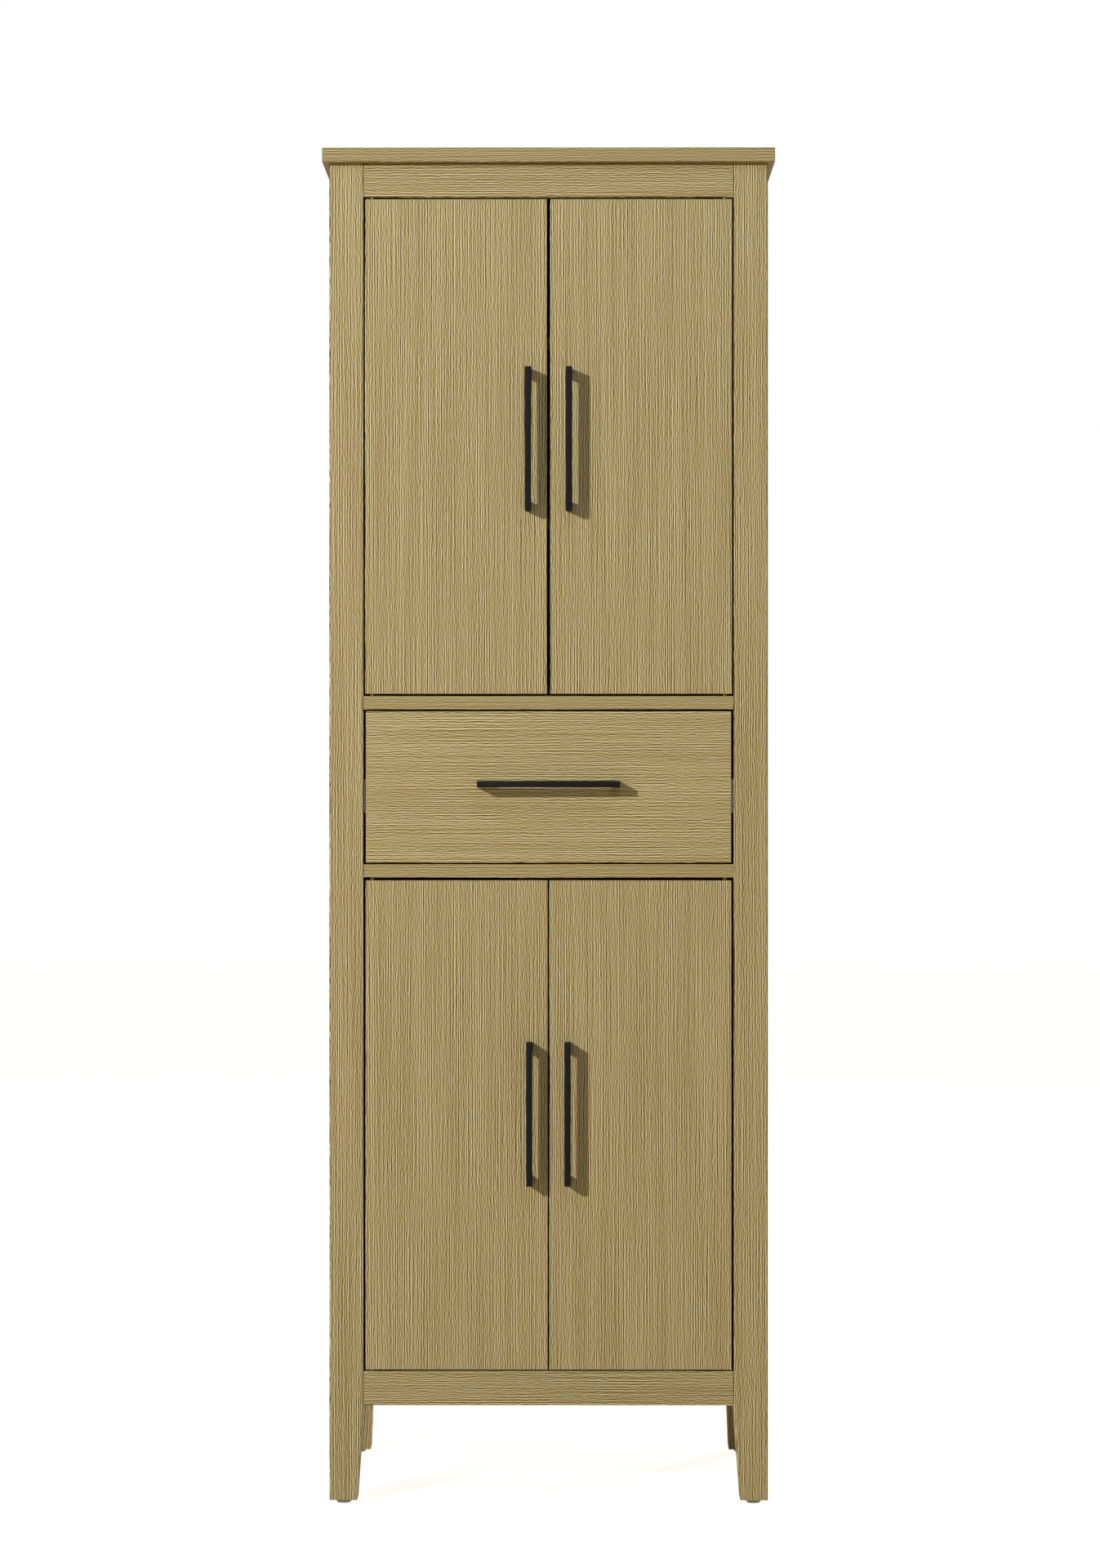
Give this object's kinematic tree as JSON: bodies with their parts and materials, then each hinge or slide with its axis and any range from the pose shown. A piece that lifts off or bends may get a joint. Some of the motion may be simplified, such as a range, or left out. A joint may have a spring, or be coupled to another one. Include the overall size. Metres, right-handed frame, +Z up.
{
  "type": "tall bathroom linen cabinet",
  "caption": "Tall free-standing oak-look bathroom cabinet with paired inset doors above and below a drawer, slim black bar handles and tapered legs.",
  "frame": {"origin": "on the floor, under the middle of the cabinet's box, which runs from the fronts of the handles to the backs of the rear posts", "axes": "+Z up, -Y towards the person who opens it, +X to that person's right"},
  "size_m": [0.61, 0.424, 1.829],
  "materials": {
    "oak_laminate": "light oak-look laminate with fine straight embossed grain, matt",
    "drawer_board": "pale birch drawer board, satin lacquer",
    "back_board": "thin oak-look board, matt",
    "spacer_board": "plain board, matt",
    "beech_dowel": "bare fluted beech",
    "grey_plastic": "moulded grey plastic, matt",
    "black_handle": "matt black powder coat on square bar",
    "hinge_brass": "brushed solid brass",
    "screw_steel": "zinc-plated steel",
    "slide_steel": "zinc-plated rolled steel",
    "shelf_pin_steel": "nickel-plated steel",
    "strike_steel": "zinc-plated sheet steel",
    "catch_plastic": "moulded dark brown plastic, matt",
    "magnet_ferrite": "sintered ferrite, matt dark grey"
  },
  "bodies": {
    "carcass": {"top_panel": "oak_laminate", "front_left_post": "oak_laminate", "front_right_post": "oak_laminate", "rear_left_post": "oak_laminate", "rear_right_post": "oak_laminate", "left_side_panel": "oak_laminate", "right_side_panel": "oak_laminate", "back_panel": "back_board", "top_front_rail": "oak_laminate", "bottom_front_rail": "oak_laminate", "rear_top_rail": "oak_laminate", "rear_bottom_rail": "oak_laminate", "upper_divider": "oak_laminate", "lower_divider": "oak_laminate", "bottom_panel": "oak_laminate", "upper_shelf_high": "oak_laminate", "upper_shelf_low": "oak_laminate", "lower_shelf": "oak_laminate", "shelf_pins": "shelf_pin_steel", "runner_spacers": "spacer_board", "carcass_dowels": "beech_dowel", "floor_glides": "grey_plastic", "left_slide_cabinet_member": "slide_steel", "right_slide_cabinet_member": "slide_steel", "frame_hinge_leaves": "hinge_brass", "carcass_screws": "screw_steel", "magnetic_catches": "catch_plastic", "catch_magnets": "magnet_ferrite"},
    "upper_left_door": {"upper_left_door": "oak_laminate", "upper_left_door_handle": "black_handle", "upper_left_door_hinge_leaves": "hinge_brass", "upper_left_door_screws": "screw_steel", "upper_left_door_strike_plate": "strike_steel"},
    "upper_right_door": {"upper_right_door": "oak_laminate", "upper_right_door_handle": "black_handle", "upper_right_door_hinge_leaves": "hinge_brass", "upper_right_door_screws": "screw_steel", "upper_right_door_strike_plate": "strike_steel"},
    "lower_left_door": {"lower_left_door": "oak_laminate", "lower_left_door_handle": "black_handle", "lower_left_door_hinge_leaves": "hinge_brass", "lower_left_door_screws": "screw_steel", "lower_left_door_strike_plate": "strike_steel"},
    "lower_right_door": {"lower_right_door": "oak_laminate", "lower_right_door_handle": "black_handle", "lower_right_door_hinge_leaves": "hinge_brass", "lower_right_door_screws": "screw_steel", "lower_right_door_strike_plate": "strike_steel"},
    "drawer": {"drawer_front": "oak_laminate", "drawer_left_side": "drawer_board", "drawer_right_side": "drawer_board", "drawer_inner_front": "drawer_board", "drawer_back": "drawer_board", "drawer_bottom": "drawer_board", "drawer_handle": "black_handle", "drawer_screws": "screw_steel", "left_slide_drawer_member": "slide_steel", "right_slide_drawer_member": "slide_steel"},
    "slide_middles": {"left_slide_middle_member": "slide_steel", "right_slide_middle_member": "slide_steel"}
  },
  "joints": [
    {"name": "upper_left_door_hinge", "type": "hinge", "parent": "carcass", "child": "upper_left_door", "pos_m": [-0.238, -0.177, 1.4275], "axis": [0, 0, -1], "range_deg": [0, 110]},
    {"name": "upper_right_door_hinge", "type": "hinge", "parent": "carcass", "child": "upper_right_door", "pos_m": [0.238, -0.177, 1.4275], "axis": [0, 0, 1], "range_deg": [0, 110]},
    {"name": "lower_left_door_hinge", "type": "hinge", "parent": "carcass", "child": "lower_left_door", "pos_m": [-0.238, -0.177, 0.513], "axis": [0, 0, -1], "range_deg": [0, 110]},
    {"name": "lower_right_door_hinge", "type": "hinge", "parent": "carcass", "child": "lower_right_door", "pos_m": [0.238, -0.177, 0.513], "axis": [0, 0, 1], "range_deg": [0, 110]},
    {"name": "drawer_slide", "type": "slide", "parent": "carcass", "child": "drawer", "axis": [0, -1, 0], "range_m": [0, 0.3]},
    {"name": "slide_middle_run", "type": "slide", "parent": "carcass", "child": "slide_middles", "axis": [0, -1, 0], "range_m": [0, 0.15]}
  ],
  "couplings": [
    {"joint": "slide_middle_run", "follows": "drawer_slide", "ratio": 0.5}
  ]
}
